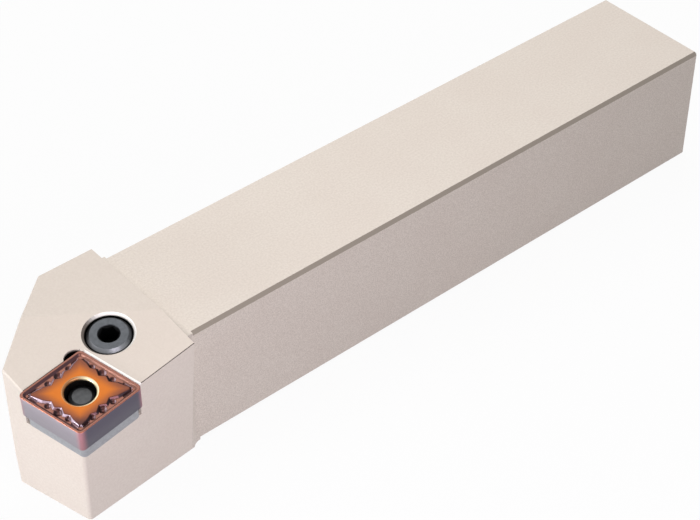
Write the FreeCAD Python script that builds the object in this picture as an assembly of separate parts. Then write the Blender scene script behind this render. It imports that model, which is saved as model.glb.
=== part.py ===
import FreeCAD, Part
import math
import os

# Indexable turning tool holder with lever clamping, right hand, millimetres.
#
# Row frame: X runs along the shank towards the cutting head, Y points to the
# insert's side, Z points up. The origin is the middle of the clamped length
# of the shank, on its seating face.
#
# Seat frame: its origin is the sharp cutting corner of the insert. Its x axis
# runs along the insert's short diagonal into the pocket, its z axis is square
# to the insert's top face. Everything in the head that belongs to the insert
# is drawn in the seat frame.

# Shank
SHANK_HEIGHT = 25.0
SHANK_WIDTH = 25.0
CLAMP_LENGTH = 121.0
SHANK_CHAMFER = 0.6

# Cutting corner: how far it lies from the backing side. It is level with the shank's top.
CORNER_OFFSET = 32.0

# Head, from its rear above the shank to the cutting corner
CLAMP_CLEARANCE = 4.6
HEAD_LENGTH = 24.4
HEAD_RISE = 3.3
RUN_OUT_RADIUS = 2.5
HEAD_NOSE = 2.3
BACK_CORNER_SETBACK = 13.8
BACK_WALL_ANGLE = 40.5
FRONT_RELIEF_ANGLE = 4.5
FRONT_SETBACK = 0.75
SIDE_SETBACK = 0.98
HEAD_CORNER_RADIUS = 0.8
EDGE_BREAK = 0.25
SIDE_EDGE_BREAK = 0.1

# Insert: an 80 degree rhombus that cuts with a 100 degree corner
INSERT_CIRCLE = 12.7
INSERT_THICKNESS = 4.76
INSERT_HOLE = 5.16
INSERT_HOLE_RIM = 0.45
INSERT_CORNER_ANGLE = 100.0
NOSE_RADIUS = 0.8
TRAILING_ANGLE = 5.0
SEAT_TILT = 8.46
INSERT_PROUD = 0.27

# Chip breaker, moulded into both faces of the insert. It is drawn for an inscribed circle of
# BREAKER_CIRCLE and grows with the insert's own. Each row is one place along a side, the same on
# all four sides: the distance from the side's middle towards the 80 degree corner, the distance
# in from the side, and for a pit its radius or half width, its depth below the groove and, where
# it is long, its length.
BREAKER_CIRCLE = 12.7
BREAKER_LAND = 0.25
GROOVE_INSET = 0.95
GROOVE_DEPTH = 0.25
GROOVE_CORNER_RADIUS = 0.15
STAR_TIP_INSET = 1.08
STAR_DRAFT = 0.3
STAR_SIDE = [
    (3.9, 1.46), (2.55, 1.72), (1.3, 2.35), (0.25, 1.75),
    (-0.75, 2.4), (-1.85, 1.65), (-2.8, 2.0), (-3.8, 1.6),
]
ROUND_PITS = [(1.4, 1.25, 0.42, 0.12), (-0.75, 1.2, 0.62, 0.18), (-2.9, 1.2, 0.42, 0.12)]
LONG_PITS = [(4.05, 1.0, 0.2, 0.1, 1.4), (-4.45, 1.05, 0.2, 0.1, 0.9)]
PIT_SLOPE = 1.6
BREAKER_OVERCUT = 0.05

# Shim under the insert
SHIM_THICKNESS = 3.18
SHIM_FRONT_SETBACK = 0.75
SHIM_WALL_GAP = 0.12
SHIM_CORNER_RADIUS = 0.9
SHIM_EDGE_BREAK = 0.3

# Relief in the pocket's inner corner
RELIEF_RADIUS = 1.9
RELIEF_FORWARD = 1.57
RELIEF_ASIDE = 0.78
RELIEF_EXTRA_DEPTH = 0.4

# Slotted sleeve that holds the shim
SLEEVE_RADIUS = 3.2
SLEEVE_WALL = 0.7
SLEEVE_FIT = 0.02
SLEEVE_DEPTH = 3.1
SLEEVE_TOP_GAP = 0.25
SLEEVE_SLOT = 1.0
SLEEVE_CHAMFER = 0.25

# Lever
PIN_BULGE_RADIUS = 2.2
PIN_BULGE_HEIGHT = 1.6
PIN_WAIST_RADIUS = 1.8
PIN_TOP_RADIUS = 1.6
PIN_TOP_DEPTH = 1.65
PIN_CONTACT_GAP = 0.03
PIVOT_DEPTH = 5.1
KNEE_RADIUS = 1.7
ARM_WIDTH = 3.6
TIP_RADIUS = 1.0
LEVER_ROOM = 0.05
TUNNEL_SIDE_ROOM = 0.5

# Lever screw
SCREW_REACH = 12.4
SCREW_SIDE_ANGLE = 21.8
SCREW_HEAD_RADIUS = 3.74
SCREW_TOP_RADIUS = 3.2
SCREW_TOP_BEVEL = 0.5
SCREW_SUNK = 0.1
SCREW_LENGTH = 21.0
NECK_RADIUS = 2.3
GROOVE_PLAY = 0.12
TIP_END_GAP = 0.2
THREAD_RADIUS = 3.675
THREAD_FIT = 0.05
SCREW_END_CHAMFER = 0.6
HEX_ACROSS_FLATS = 3.0
HEX_DEPTH = 3.6
HEX_MOUTH_RADIUS = 1.93
SCREW_BORE_RADIUS = 4.02
SCREW_BORE_CHAMFER = 0.45

# Places that follow from the sizes above
SHANK_END_X = -CLAMP_LENGTH / 2
HEAD_REAR_X = CLAMP_LENGTH / 2 + CLAMP_CLEARANCE
RUN_OUT_FOOT_X = HEAD_REAR_X - RUN_OUT_RADIUS
CORNER_X = HEAD_REAR_X + HEAD_LENGTH
CORNER_Y = CORNER_OFFSET - SHANK_WIDTH / 2
BACKING_Y = -SHANK_WIDTH / 2
HEAD_TOP_Z = SHANK_HEIGHT + HEAD_RISE
HEAD_END_X = CORNER_X + HEAD_NOSE
BACK_CORNER_X = CORNER_X - BACK_CORNER_SETBACK

# Reach of a cutting tool past the steel that it cuts
BEYOND = 2 * CORNER_OFFSET

HALF_CORNER = INSERT_CORNER_ANGLE / 2
HALF_SINE = math.sin(math.radians(HALF_CORNER))
HALF_COSINE = math.cos(math.radians(HALF_CORNER))
INSERT_SIDE = INSERT_CIRCLE / math.sin(math.radians(INSERT_CORNER_ANGLE))
INSERT_CENTRE = INSERT_SIDE * HALF_COSINE
INSERT_BACK = 2 * INSERT_CENTRE
FLOOR_DEPTH = INSERT_THICKNESS + SHIM_THICKNESS
FACET_DEPTH = INSERT_PROUD
BREAKER_SCALE = INSERT_CIRCLE / BREAKER_CIRCLE
INSERT_HALF_WIDTH = INSERT_SIDE * HALF_SINE

# Quarters of the insert's face: towards its two 100 degree and its two 80 degree corners
QUARTERS = [(1, 1), (-1, 1), (-1, -1), (1, -1)]

SEAT_AZIMUTH = 180.0 + TRAILING_ANGLE + HALF_CORNER
CORNER = FreeCAD.Vector(CORNER_X, CORNER_Y, SHANK_HEIGHT)
SEAT = FreeCAD.Placement(
    CORNER,
    FreeCAD.Rotation(FreeCAD.Vector(0, 0, 1), SEAT_AZIMUTH)
    .multiply(FreeCAD.Rotation(FreeCAD.Vector(0, 1, 0), -SEAT_TILT)),
)

# The lever lies in an upright plane that turns about the insert's centre line
LEVER_PLANE = FreeCAD.Placement(
    FreeCAD.Vector(INSERT_CENTRE, 0, 0),
    FreeCAD.Rotation(FreeCAD.Vector(0, 0, 1), -SCREW_SIDE_ANGLE),
)
PIN_LEAN = INSERT_HOLE / 2 - PIN_BULGE_RADIUS - PIN_CONTACT_GAP
PIVOT_Z = -FLOOR_DEPTH - PIVOT_DEPTH
ARM_LENGTH = SCREW_REACH - PIN_LEAN - NECK_RADIUS - TIP_RADIUS - TIP_END_GAP
SLEEVE_TOP_Z = -INSERT_THICKNESS - SLEEVE_TOP_GAP
SLEEVE_BOTTOM_Z = -FLOOR_DEPTH - SLEEVE_DEPTH
WELL_BOTTOM_Z = PIVOT_Z - KNEE_RADIUS - LEVER_ROOM
GROOVE_HALF = TIP_RADIUS + GROOVE_PLAY
SCREW_TOP_Z = -FACET_DEPTH - SCREW_SUNK
SCREW_BOTTOM_Z = SCREW_TOP_Z - SCREW_LENGTH
BORE_BOTTOM_Z = PIVOT_Z - GROOVE_HALF - GROOVE_PLAY


def in_seat(shape):
    """Carry a shape from the seat frame to the row frame."""
    return shape.transformed(SEAT.Matrix)


def in_lever_plane(shape):
    """Carry a shape from the lever's plane to the seat frame."""
    return shape.transformed(LEVER_PLANE.Matrix)


def prism(points, low, high):
    """Straight prism over a polygon of (x, y) points."""
    corners = [FreeCAD.Vector(x, y, low) for x, y in points]
    face = Part.Face(Part.makePolygon(corners + corners[:1]))
    return face.extrude(FreeCAD.Vector(0, 0, high - low))


def turned(points, x=0.0):
    """Solid turned about an upright axis at x from a profile of (radius, z) points."""
    corners = [FreeCAD.Vector(x + radius, 0, z) for radius, z in points]
    face = Part.Face(Part.makePolygon(corners + corners[:1]))
    return face.revolve(FreeCAD.Vector(x, 0, 0), FreeCAD.Vector(0, 0, 1), 360)


def beyond_plane(point, normal):
    """Block that fills the space outside a plane."""
    block = Part.makeBox(2 * BEYOND, 2 * BEYOND, BEYOND, FreeCAD.Vector(-BEYOND, -BEYOND, 0))
    turn = FreeCAD.Rotation(FreeCAD.Vector(0, 0, 1), normal)
    return block.transformed(FreeCAD.Placement(point, turn).Matrix)


def edges_on_planes(shape, planes):
    """Edges whose ends and middle lie on each of the planes."""
    found = []
    for edge in shape.Edges:
        middle = edge.valueAt((edge.FirstParameter + edge.LastParameter) / 2)
        points = [vertex.Point for vertex in edge.Vertexes] + [middle]
        gaps = [abs((p - point).dot(normal)) for p in points for point, normal in planes]
        if max(gaps) < 1e-4:
            found.append(edge)
    return found


def rhombus(circle, tip, low, high, radius):
    """Rhombic plate with rounded corners. Its front corner is at x = tip."""
    side = circle / math.sin(math.radians(INSERT_CORNER_ANGLE))
    middle = tip + side * HALF_COSINE
    half_width = side * HALF_SINE
    points = [(tip, 0), (middle, half_width), (2 * middle - tip, 0), (middle, -half_width)]
    plate = prism(points, low, high)
    upright = [edge for edge in plate.Edges if abs(edge.Vertexes[0].Z - edge.Vertexes[1].Z) > 1e-6]
    return plate.makeFillet(radius, upright)


def flank_normal(side):
    """Outward normal of the insert's front flank (side 1) or side flank (side -1), row frame."""
    local = FreeCAD.Vector(-HALF_SINE, side * HALF_COSINE, 0)
    return SEAT.Rotation.multVec(local)


def front_face():
    """Plane of the head's front face: a point and the outward normal."""
    flank = flank_normal(1)
    level = FreeCAD.Vector(flank.x, flank.y, 0).normalize()
    relief = math.radians(FRONT_RELIEF_ANGLE)
    normal = level * math.cos(relief) - FreeCAD.Vector(0, 0, math.sin(relief))
    up = SEAT.Rotation.multVec(FreeCAD.Vector(0, 0, 1))
    return CORNER - up * FLOOR_DEPTH - flank * FRONT_SETBACK, normal


def side_face():
    """Plane of the head's face on the insert's side: a point and the outward normal."""
    flank = flank_normal(-1)
    return CORNER - flank * SIDE_SETBACK, flank


def facet():
    """Plane that the head's top is milled to around the insert."""
    up = SEAT.Rotation.multVec(FreeCAD.Vector(0, 0, 1))
    return CORNER - up * FACET_DEPTH, up


def make_shank():
    """Square shank with chamfered long edges and a chamfered end."""
    length = RUN_OUT_FOOT_X - SHANK_END_X
    foot = FreeCAD.Vector(SHANK_END_X, BACKING_Y, 0)
    shank = Part.makeBox(length, SHANK_WIDTH, SHANK_HEIGHT, foot)
    joined = FreeCAD.Vector(RUN_OUT_FOOT_X, 0, 0)
    seam = edges_on_planes(shank, [(joined, FreeCAD.Vector(1, 0, 0))])
    free = [edge for edge in shank.Edges if not any(edge.isSame(other) for other in seam)]
    return shank.makeChamfer(SHANK_CHAMFER, free)


def make_head():
    """Cutting head: a plan outline and a side outline, cut to each other and to its three
    slanting planes, with the rounded run-outs down to the shank."""
    foot = RUN_OUT_FOOT_X
    rear = HEAD_REAR_X
    side_y = SHANK_WIDTH / 2
    lean = math.tan(math.radians(BACK_WALL_ANGLE))
    end_y = BACKING_Y + (HEAD_END_X - BACK_CORNER_X) * lean
    wide_y = CORNER_Y + RUN_OUT_RADIUS
    high_z = HEAD_TOP_Z + RUN_OUT_RADIUS
    bend = RUN_OUT_RADIUS * math.sqrt(0.5)

    # Seen from above, with the run-out on the insert's side
    outline = [
        (foot, side_y), (foot, BACKING_Y), (BACK_CORNER_X, BACKING_Y),
        (HEAD_END_X, end_y), (HEAD_END_X, wide_y), (rear, wide_y), (rear, side_y + RUN_OUT_RADIUS),
    ]
    path = [FreeCAD.Vector(x, y, 0) for x, y in outline]
    middle = FreeCAD.Vector(foot + bend, side_y + RUN_OUT_RADIUS - bend, 0)
    sweep = Part.Arc(path[-1], middle, path[0]).toShape()
    plan = Part.Face(Part.Wire(Part.makePolygon(path).Edges + [sweep]))
    plan = plan.extrude(FreeCAD.Vector(0, 0, HEAD_TOP_Z))

    # Seen from the side, with the run-out on top
    outline = [
        (foot, SHANK_HEIGHT), (foot, 0), (HEAD_END_X, 0),
        (HEAD_END_X, high_z), (rear, high_z), (rear, SHANK_HEIGHT + RUN_OUT_RADIUS),
    ]
    path = [FreeCAD.Vector(x, BACKING_Y, z) for x, z in outline]
    middle = FreeCAD.Vector(foot + bend, BACKING_Y, SHANK_HEIGHT + RUN_OUT_RADIUS - bend)
    sweep = Part.Arc(path[-1], middle, path[0]).toShape()
    profile = Part.Face(Part.Wire(Part.makePolygon(path).Edges + [sweep]))
    profile = profile.extrude(FreeCAD.Vector(0, wide_y - BACKING_Y, 0))

    head = plan.common(profile)
    front_point, front_normal = front_face()
    side_point, side_normal = side_face()
    head = head.cut(beyond_plane(front_point, front_normal))
    head = head.cut(beyond_plane(side_point, side_normal))
    front_edge = edges_on_planes(head, [(front_point, front_normal), (side_point, side_normal)])
    head = head.makeFillet(HEAD_CORNER_RADIUS, front_edge)
    facet_point, facet_normal = facet()
    return head.cut(beyond_plane(facet_point, facet_normal))


def pocket_outline(grown, height):
    """Outline of the pocket's two walls, closed far outside the steel, at one height."""
    back = INSERT_BACK + grown / HALF_SINE
    far = BEYOND
    corners = [
        FreeCAD.Vector(back, 0, height),
        FreeCAD.Vector(back - far * HALF_COSINE, far * HALF_SINE, height),
        FreeCAD.Vector(back - 2 * far * HALF_COSINE, 0, height),
        FreeCAD.Vector(back - far * HALF_COSINE, -far * HALF_SINE, height),
    ]
    return Part.makePolygon(corners + corners[:1])


def make_pocket():
    """Cutter for the insert's pocket: its two walls with their broken top edges, its floor and
    the relief in its inner corner."""
    pocket = Part.Face(pocket_outline(0, -FLOOR_DEPTH)).extrude(FreeCAD.Vector(0, 0, BEYOND))
    edge_break = Part.makeLoft([
        pocket_outline(0, -FACET_DEPTH - EDGE_BREAK),
        pocket_outline(2 * EDGE_BREAK, -FACET_DEPTH + EDGE_BREAK),
    ], True, True)
    relief_foot = FreeCAD.Vector(
        INSERT_BACK - RELIEF_FORWARD, RELIEF_ASIDE, -FLOOR_DEPTH - RELIEF_EXTRA_DEPTH
    )
    relief = Part.makeCylinder(RELIEF_RADIUS, BEYOND, relief_foot)
    return in_seat(pocket.fuse([edge_break, relief]))


def make_lever_room():
    """Cutter for what lies under the pocket: the sleeve's seat, the well of the lever's knee,
    the tunnel for its arm and the screw's stepped hole."""
    seat = turned([
        (0, -FLOOR_DEPTH + 1.0), (SLEEVE_RADIUS, -FLOOR_DEPTH + 1.0),
        (SLEEVE_RADIUS, SLEEVE_BOTTOM_Z), (0, SLEEVE_BOTTOM_Z),
    ])
    well_radius = SLEEVE_RADIUS - SLEEVE_WALL / 2
    well = Part.makeCylinder(
        well_radius, SLEEVE_BOTTOM_Z - WELL_BOTTOM_Z + 1.0, FreeCAD.Vector(0, 0, WELL_BOTTOM_Z)
    )
    half_width = ARM_WIDTH / 2 + TUNNEL_SIDE_ROOM
    tunnel = Part.makeBox(
        SCREW_REACH, 2 * half_width, SLEEVE_BOTTOM_Z - WELL_BOTTOM_Z,
        FreeCAD.Vector(0, -half_width, WELL_BOTTOM_Z),
    )
    rim = SCREW_BORE_RADIUS + SCREW_BORE_CHAMFER
    thread = THREAD_RADIUS + THREAD_FIT
    bore = turned([
        (0, BEYOND), (rim, BEYOND), (rim, -FACET_DEPTH),
        (SCREW_BORE_RADIUS, -FACET_DEPTH - SCREW_BORE_CHAMFER),
        (SCREW_BORE_RADIUS, BORE_BOTTOM_Z), (thread, BORE_BOTTOM_Z - (SCREW_BORE_RADIUS - thread)),
        (thread, -BEYOND), (0, -BEYOND),
    ], SCREW_REACH)
    room = seat.fuse([well, tunnel, bore])
    return in_seat(in_lever_plane(room))


def top_edges(head, walls):
    """Edges that the head's level top and its milled facet share with the given walls."""
    tops = [(FreeCAD.Vector(0, 0, HEAD_TOP_Z), FreeCAD.Vector(0, 0, 1)), facet()]
    found = []
    for wall in walls:
        for top in tops:
            found += edges_on_planes(head, [wall, top])
    return found


def make_holder():
    """Shank and head, milled from one bar."""
    lean = math.radians(BACK_WALL_ANGLE)
    back_corner = FreeCAD.Vector(BACK_CORNER_X, BACKING_Y, 0)
    walls = [
        (back_corner, FreeCAD.Vector(0, -1, 0)),
        (back_corner, FreeCAD.Vector(math.sin(lean), -math.cos(lean), 0)),
        (FreeCAD.Vector(HEAD_END_X, 0, 0), FreeCAD.Vector(1, 0, 0)),
    ]
    head = make_head()
    head = head.makeChamfer(EDGE_BREAK, top_edges(head, walls))
    head = head.makeChamfer(SIDE_EDGE_BREAK, top_edges(head, [side_face()]))
    holder = make_shank().fuse(head).cut(make_pocket()).removeSplitter()
    return holder.cut(make_lever_room())


def side_spot(quarter, along, inset):
    """Point on the insert's top face, from its place beside one of the four sides."""
    x = INSERT_CENTRE / 2 - along * HALF_COSINE - inset * HALF_SINE
    y = INSERT_HALF_WIDTH / 2 + along * HALF_SINE - inset * HALF_COSINE
    return INSERT_CENTRE + quarter[0] * x, quarter[1] * y


def star_outline(height):
    """Outline of the raised middle at one height. It widens downwards."""
    spread = STAR_DRAFT * BREAKER_SCALE * height / GROOVE_DEPTH
    tip = STAR_TIP_INSET * BREAKER_SCALE + spread
    wide_tip = INSERT_CENTRE - tip / HALF_SINE
    narrow_tip = INSERT_HALF_WIDTH - tip / HALF_COSINE
    points = []
    for quarter in QUARTERS:
        spots = []
        for along, inset in STAR_SIDE:
            inset = inset * BREAKER_SCALE + spread
            spots.append(side_spot(quarter, along * BREAKER_SCALE, inset))
        if quarter[0] == quarter[1]:
            points.append((INSERT_CENTRE + quarter[0] * wide_tip, 0))
            points += reversed(spots)
        else:
            points.append((INSERT_CENTRE, quarter[1] * narrow_tip))
            points += spots
    corners = [FreeCAD.Vector(x, y, height) for x, y in points]
    return Part.makePolygon(corners + corners[:1])


def groove_outline(inset, height, radius):
    """Outline of the insert drawn in by an inset, with its corners rounded."""
    plate = rhombus(INSERT_CIRCLE - 2 * inset, inset / HALF_SINE, height - 1.0, height, radius)
    top = max(plate.Faces, key=lambda face: face.CenterOfMass.z)
    return top.OuterWire


def round_pit(spot, radius, depth):
    """Punch that sinks a round pit with sloping sides into the groove."""
    top = GROOVE_DEPTH + BREAKER_OVERCUT
    rise = (top + depth) / PIT_SLOPE
    narrow = radius - depth / PIT_SLOPE
    foot = FreeCAD.Vector(*spot, -GROOVE_DEPTH - depth)
    return Part.makeCone(narrow, narrow + rise, top + depth, foot)


def long_pit(spot, half_width, depth, length, heading):
    """Punch that sinks a long pit with sloping sides into the groove."""
    aside = heading.cross(FreeCAD.Vector(0, 0, 1))
    rings = []
    for height, spread in [(-GROOVE_DEPTH - depth, 0), (BREAKER_OVERCUT, half_width)]:
        middle = FreeCAD.Vector(*spot, height)
        ahead = heading * (length / 2 + spread)
        across = aside * (half_width / 2 + spread)
        corners = [middle + ahead, middle + across, middle - ahead, middle - across]
        rings.append(Part.makePolygon(corners + corners[:1]))
    return Part.makeLoft(rings, True, True)


def make_breaker():
    """Cutter for the chip breaker of the top face: a groove round a raised star, with pits."""
    slope = (GROOVE_INSET - BREAKER_LAND) / GROOVE_DEPTH
    mouth = BREAKER_LAND - BREAKER_OVERCUT * slope
    groove = Part.makeLoft([
        groove_outline(mouth, BREAKER_OVERCUT, NOSE_RADIUS - mouth),
        groove_outline(GROOVE_INSET, -GROOVE_DEPTH, GROOVE_CORNER_RADIUS),
    ], True, True)
    bottom = -GROOVE_DEPTH - BREAKER_OVERCUT
    star = Part.makeLoft([star_outline(bottom), star_outline(2 * BREAKER_OVERCUT)], True, True)
    pits = []
    for quarter in QUARTERS:
        heading = FreeCAD.Vector(-quarter[0] * HALF_COSINE, quarter[1] * HALF_SINE, 0)
        for along, inset, radius, depth in ROUND_PITS:
            spot = side_spot(quarter, along * BREAKER_SCALE, inset * BREAKER_SCALE)
            pits.append(round_pit(spot, radius * BREAKER_SCALE, depth))
        for along, inset, half_width, depth, length in LONG_PITS:
            spot = side_spot(quarter, along * BREAKER_SCALE, inset * BREAKER_SCALE)
            length = length * BREAKER_SCALE
            pits.append(long_pit(spot, half_width * BREAKER_SCALE, depth, length, heading))
    return groove.cut(star).fuse(pits)


def make_insert():
    """Double-sided rhombic insert with a chamfered hole and a chip breaker on both faces."""
    plate = rhombus(INSERT_CIRCLE, 0, -INSERT_THICKNESS, 0, NOSE_RADIUS)
    radius = INSERT_HOLE / 2
    rim = radius + INSERT_HOLE_RIM
    hole = turned([
        (0, 1.0), (rim, 1.0), (rim, 0), (radius, -INSERT_HOLE_RIM),
        (radius, INSERT_HOLE_RIM - INSERT_THICKNESS), (rim, -INSERT_THICKNESS),
        (rim, -INSERT_THICKNESS - 1.0), (0, -INSERT_THICKNESS - 1.0),
    ], INSERT_CENTRE)
    breaker = make_breaker()
    middle = FreeCAD.Vector(0, 0, -INSERT_THICKNESS / 2)
    under = breaker.mirror(middle, FreeCAD.Vector(0, 0, 1))
    return in_seat(plate.cut([hole, breaker, under]))


def make_shim():
    """Shim: a smaller rhombus, set back under the two cutting sides."""
    circle = INSERT_CIRCLE - SHIM_FRONT_SETBACK - SHIM_WALL_GAP
    tip = SHIM_FRONT_SETBACK / HALF_SINE
    plate = rhombus(circle, tip, -FLOOR_DEPTH, -INSERT_THICKNESS, SHIM_CORNER_RADIUS)
    hole_radius = SLEEVE_RADIUS
    hole = turned([
        (0, -INSERT_THICKNESS + 1.0), (hole_radius + SHIM_EDGE_BREAK, -INSERT_THICKNESS + 1.0),
        (hole_radius + SHIM_EDGE_BREAK, -INSERT_THICKNESS),
        (hole_radius, -INSERT_THICKNESS - SHIM_EDGE_BREAK), (hole_radius, -FLOOR_DEPTH - 1.0),
        (0, -FLOOR_DEPTH - 1.0),
    ], INSERT_CENTRE)
    return in_seat(plate.cut(hole))


def make_shim_pin():
    """Slotted tubular sleeve that ties the shim to the pocket floor."""
    outer = SLEEVE_RADIUS - SLEEVE_FIT
    inner = SLEEVE_RADIUS - SLEEVE_WALL
    bevel = SLEEVE_CHAMFER
    tube = turned([
        (inner, SLEEVE_TOP_Z), (outer - bevel, SLEEVE_TOP_Z), (outer, SLEEVE_TOP_Z - bevel),
        (outer, SLEEVE_BOTTOM_Z + bevel), (outer - bevel, SLEEVE_BOTTOM_Z), (inner, SLEEVE_BOTTOM_Z),
    ])
    slot = Part.makeBox(
        outer + 1.0, SLEEVE_SLOT, SLEEVE_TOP_Z - SLEEVE_BOTTOM_Z + 2.0,
        FreeCAD.Vector(-outer - 1.0, -SLEEVE_SLOT / 2, SLEEVE_BOTTOM_Z - 1.0),
    )
    return in_seat(in_lever_plane(tube.cut(slot)))


def make_lever():
    """Clamping lever: a barrel-headed pin on a round knee, and an arm whose round tip sits
    in the screw's groove."""
    bulge_middle = -INSERT_THICKNESS / 2 - PIN_BULGE_HEIGHT / 4
    bulge_top = bulge_middle + PIN_BULGE_HEIGHT / 2
    bulge_bottom = bulge_middle - PIN_BULGE_HEIGHT / 2
    pin = turned([
        (0, -PIN_TOP_DEPTH), (PIN_TOP_RADIUS, -PIN_TOP_DEPTH), (PIN_BULGE_RADIUS, bulge_top),
        (PIN_BULGE_RADIUS, bulge_bottom), (PIN_WAIST_RADIUS, bulge_bottom - PIN_BULGE_HEIGHT / 2),
        (PIN_WAIST_RADIUS, PIVOT_Z), (0, PIVOT_Z),
    ], PIN_LEAN)
    half_width = ARM_WIDTH / 2
    across = FreeCAD.Vector(0, 1, 0)
    knee_foot = FreeCAD.Vector(PIN_LEAN, -half_width, PIVOT_Z)
    tip_foot = FreeCAD.Vector(PIN_LEAN + ARM_LENGTH, -half_width, PIVOT_Z)
    knee = Part.makeCylinder(KNEE_RADIUS, ARM_WIDTH, knee_foot, across)
    tip = Part.makeCylinder(TIP_RADIUS, ARM_WIDTH, tip_foot, across)
    slope = math.asin((KNEE_RADIUS - TIP_RADIUS) / ARM_LENGTH)
    touch_x = math.sin(slope)
    touch_z = math.cos(slope)
    corners = [
        (knee_foot.x + KNEE_RADIUS * touch_x, PIVOT_Z + KNEE_RADIUS * touch_z),
        (tip_foot.x + TIP_RADIUS * touch_x, PIVOT_Z + TIP_RADIUS * touch_z),
        (tip_foot.x + TIP_RADIUS * touch_x, PIVOT_Z - TIP_RADIUS * touch_z),
        (knee_foot.x + KNEE_RADIUS * touch_x, PIVOT_Z - KNEE_RADIUS * touch_z),
    ]
    web = [FreeCAD.Vector(x, -half_width, z) for x, z in corners]
    arm = Part.Face(Part.makePolygon(web + web[:1])).extrude(FreeCAD.Vector(0, ARM_WIDTH, 0))
    lever = pin.fuse([knee, tip, arm]).removeSplitter()
    return in_seat(in_lever_plane(lever))


def make_lever_screw():
    """Lever screw: bevelled head with a hexagon socket, neck groove and threaded end."""
    groove_top = PIVOT_Z + GROOVE_HALF
    groove_bottom = PIVOT_Z - GROOVE_HALF
    screw = turned([
        (0, SCREW_TOP_Z), (SCREW_TOP_RADIUS, SCREW_TOP_Z),
        (SCREW_HEAD_RADIUS, SCREW_TOP_Z - SCREW_TOP_BEVEL), (SCREW_HEAD_RADIUS, groove_top),
        (NECK_RADIUS, groove_top), (NECK_RADIUS, groove_bottom), (THREAD_RADIUS, groove_bottom),
        (THREAD_RADIUS, SCREW_BOTTOM_Z + SCREW_END_CHAMFER),
        (THREAD_RADIUS - SCREW_END_CHAMFER, SCREW_BOTTOM_Z), (0, SCREW_BOTTOM_Z),
    ], SCREW_REACH)
    corner_radius = HEX_ACROSS_FLATS / math.sqrt(3)
    corners = [
        (SCREW_REACH + corner_radius * math.cos(math.radians(60 * step)),
         corner_radius * math.sin(math.radians(60 * step)))
        for step in range(6)
    ]
    socket = prism(corners, SCREW_TOP_Z - HEX_DEPTH, SCREW_TOP_Z + 1.0)
    inner = HEX_ACROSS_FLATS / 2
    mouth = turned([
        (0, SCREW_TOP_Z + 1.0), (HEX_MOUTH_RADIUS, SCREW_TOP_Z + 1.0), (HEX_MOUTH_RADIUS, SCREW_TOP_Z),
        (inner, SCREW_TOP_Z - (HEX_MOUTH_RADIUS - inner)), (0, SCREW_TOP_Z - (HEX_MOUTH_RADIUS - inner)),
    ], SCREW_REACH)
    drill_point = turned([
        (0, SCREW_TOP_Z - HEX_DEPTH), (inner, SCREW_TOP_Z - HEX_DEPTH),
        (0, SCREW_TOP_Z - HEX_DEPTH - inner / 2),
    ], SCREW_REACH)
    screw = screw.cut([socket, mouth, drill_point])
    return in_seat(in_lever_plane(screw))


NODES = {
    "holder": make_holder,
    "insert": make_insert,
    "shim": make_shim,
    "shim_pin": make_shim_pin,
    "lever": make_lever,
    "lever_screw": make_lever_screw,
}

os.makedirs("parts", exist_ok=True)
for node, make in NODES.items():
    solid = make()
    solid.exportStep("parts/" + node + ".step")
    print(node, len(solid.Solids), round(solid.Volume, 2), solid.isValid())
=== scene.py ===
# %% [markdown]
# A turning tool holder, dressed in Blender
#
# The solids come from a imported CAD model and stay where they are. This script gives each of
# them its finish, models the cutting insert with its moulded chip breaker as a new piece, and
# sets up the camera, the lamps and the floor. Sizes are in metres, so a value in millimetres
# is multiplied by MM.

import math

import bmesh
import bpy
from mathutils import Matrix, Vector

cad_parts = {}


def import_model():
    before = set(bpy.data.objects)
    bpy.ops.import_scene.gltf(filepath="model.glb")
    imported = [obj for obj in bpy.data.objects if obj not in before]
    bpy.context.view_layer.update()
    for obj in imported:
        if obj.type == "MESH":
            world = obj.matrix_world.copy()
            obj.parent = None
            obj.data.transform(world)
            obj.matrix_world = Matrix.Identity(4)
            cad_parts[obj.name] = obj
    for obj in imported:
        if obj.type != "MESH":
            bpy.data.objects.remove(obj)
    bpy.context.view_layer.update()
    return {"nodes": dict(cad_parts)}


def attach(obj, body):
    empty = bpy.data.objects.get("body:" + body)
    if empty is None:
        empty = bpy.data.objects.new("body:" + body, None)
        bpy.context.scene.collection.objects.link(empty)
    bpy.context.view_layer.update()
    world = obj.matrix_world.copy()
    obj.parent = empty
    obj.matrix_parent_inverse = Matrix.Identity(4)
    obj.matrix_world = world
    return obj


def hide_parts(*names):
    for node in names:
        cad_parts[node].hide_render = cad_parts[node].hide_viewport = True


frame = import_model()
MM = 0.001

# %% [markdown]
# The camera
#
# The viewpoint was worked out from the straight edges of the real holder: a long lens from
# about 370 mm away, above the head and on the insert's side, held level. A camera can be turned
# by three angles or by a constraint that tracks a target. Here it is turned by a quaternion
# from its line of sight, which has no roll of its own and needs no second object. The lamps
# are aimed in the same way.

# %% Camera
CAMERA_PLACE = Vector((190.75, 202.28, 239.07)) * MM
CAMERA_SIGHT = Vector((-0.4894, -0.5736, -0.6569))
LENS_MM = 98.35
SENSOR_MM = 36


def link(name, data):
    """A new object in the scene."""
    made = bpy.data.objects.new(name, data)
    bpy.context.scene.collection.objects.link(made)
    return made


def aim(thing, place, sight):
    """Put a camera or a lamp at a place, looking along its sight."""
    thing.location = place
    thing.rotation_mode = "QUATERNION"
    thing.rotation_quaternion = sight.to_track_quat("-Z", "Y")


camera_data = bpy.data.cameras.new("camera")
camera_data.lens = LENS_MM
camera_data.sensor_width = SENSOR_MM
camera_data.clip_start = 10 * MM
camera_data.clip_end = 10
camera = link("camera", camera_data)
aim(camera, CAMERA_PLACE, CAMERA_SIGHT)
bpy.context.scene.camera = camera
print("camera at", [round(value / MM) for value in CAMERA_PLACE], "mm")

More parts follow.
